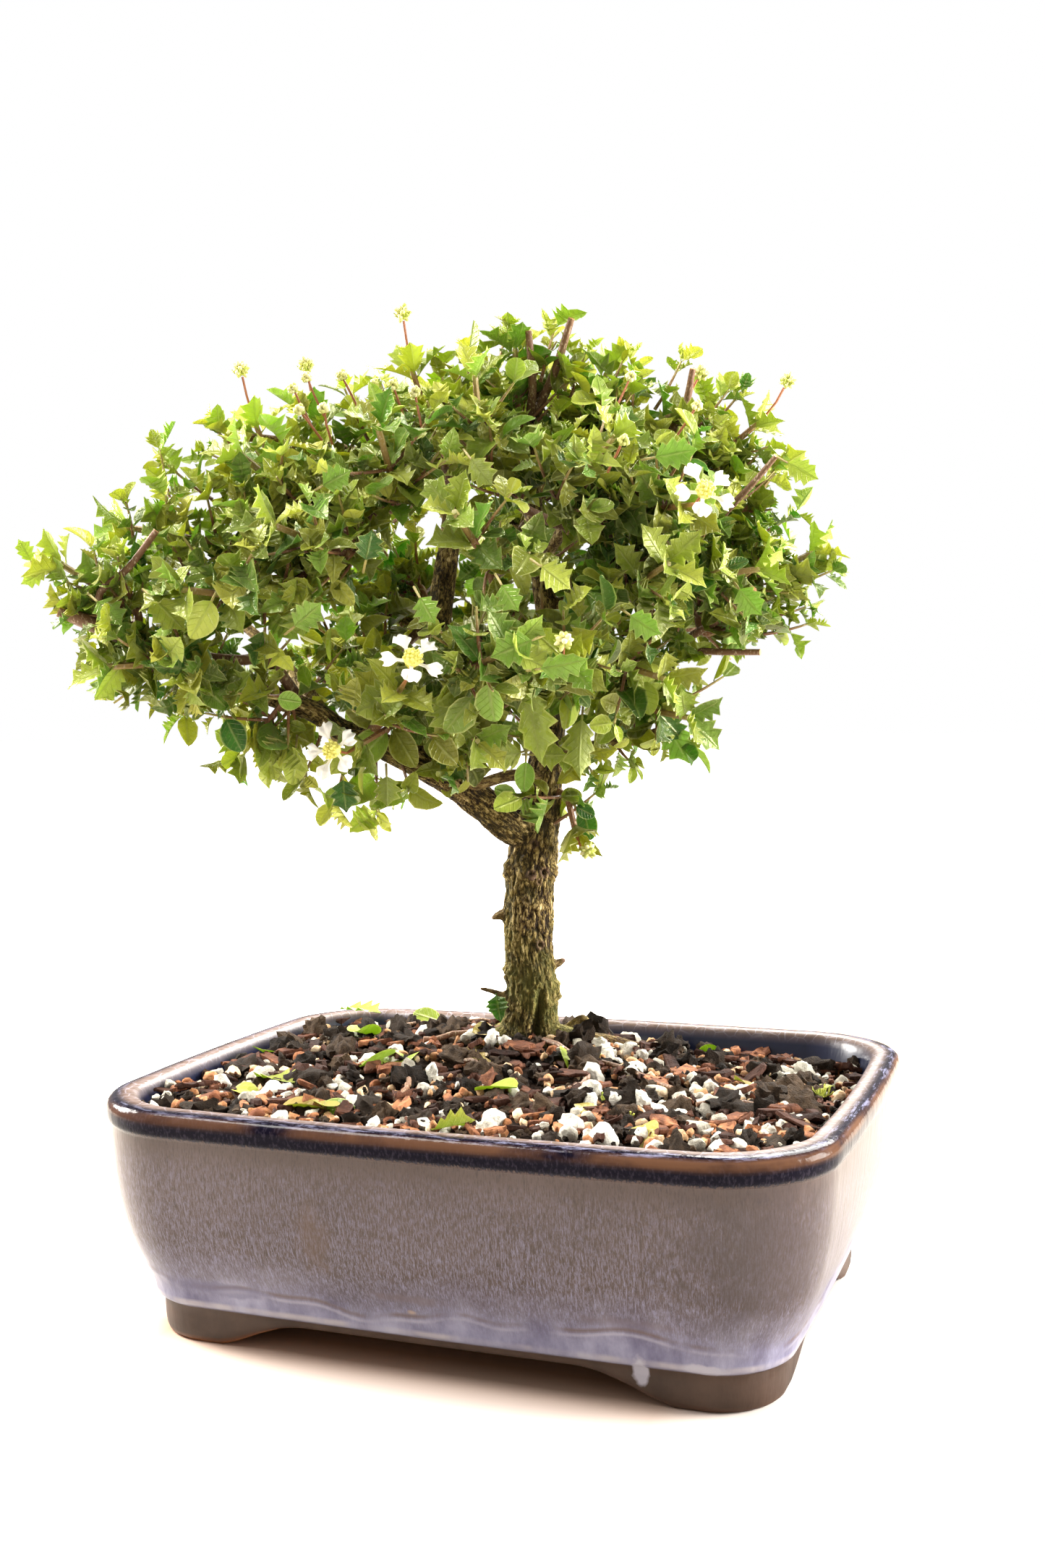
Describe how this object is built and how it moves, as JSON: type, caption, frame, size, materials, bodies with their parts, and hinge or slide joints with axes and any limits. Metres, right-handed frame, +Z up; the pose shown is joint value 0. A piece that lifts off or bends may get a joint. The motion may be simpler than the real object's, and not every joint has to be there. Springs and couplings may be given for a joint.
{
  "type": "bonsai tree in pot",
  "caption": "Dwarf holly bonsai with spiny leaves, pale buds and fringed white blooms on a fissured trunk, standing in gritty soil in a low glazed rectangular pot on feet.",
  "frame": {"origin": "The middle of the bottom of the box round the whole plant and pot; the pot's feet stand on Z = 0.", "axes": "+X along the pot's long side to the right as seen from the front, +Y from the front to the back across the pot's short side, +Z up."},
  "size_m": [0.2356, 0.197, 0.2889],
  "materials": {
    "glaze": "glossy taupe and lavender glaze with a dark collar",
    "grit": "loose mineral grit, clay granules and bark",
    "bark": "fissured living bark",
    "leaf": "fresh leaves on green and red-brown twigs, glossy",
    "petal": "fresh white petals, matte",
    "bloom_heart": "fresh yellow stamens, matte",
    "flower_bud": "fresh pale buds, matte"
  },
  "bodies": {
    "root": {"bloom_1_heart": "bloom_heart", "bloom_1_petals": "petal", "bloom_2_heart": "bloom_heart", "bloom_2_petals": "petal", "bloom_3_heart": "bloom_heart", "bloom_3_petals": "petal", "bud_1": "flower_bud", "bud_2": "flower_bud", "bud_3": "flower_bud", "bud_4": "flower_bud", "bud_5": "flower_bud", "bud_6": "flower_bud", "bud_7": "flower_bud", "pot": "glaze", "soil": "grit", "spray_01": "leaf", "spray_02": "leaf", "spray_03": "leaf", "spray_04": "leaf", "spray_05": "leaf", "spray_06": "leaf", "spray_07": "leaf", "spray_08": "leaf", "spray_09": "leaf", "spray_10": "leaf", "spray_11": "leaf", "spray_12": "leaf", "spray_13": "leaf", "spray_14": "leaf", "spray_15": "leaf", "spray_16": "leaf", "spray_17": "leaf", "spray_18": "leaf", "spray_19": "leaf", "spray_20": "leaf", "spray_21": "leaf", "spray_22": "leaf", "spray_23": "leaf", "spray_24": "leaf", "spray_25": "leaf", "spray_26": "leaf", "spray_27": "leaf", "spray_28": "leaf", "spray_29": "leaf", "spray_30": "leaf", "spray_31": "leaf", "spray_32": "leaf", "spray_33": "leaf", "spray_34": "leaf", "spray_35": "leaf", "spray_36": "leaf", "spray_37": "leaf", "spray_38": "leaf", "spray_39": "leaf", "spray_40": "leaf", "spray_41": "leaf", "spray_42": "leaf", "spray_43": "leaf", "trunk": "bark"}
  },
  "joints": []
}
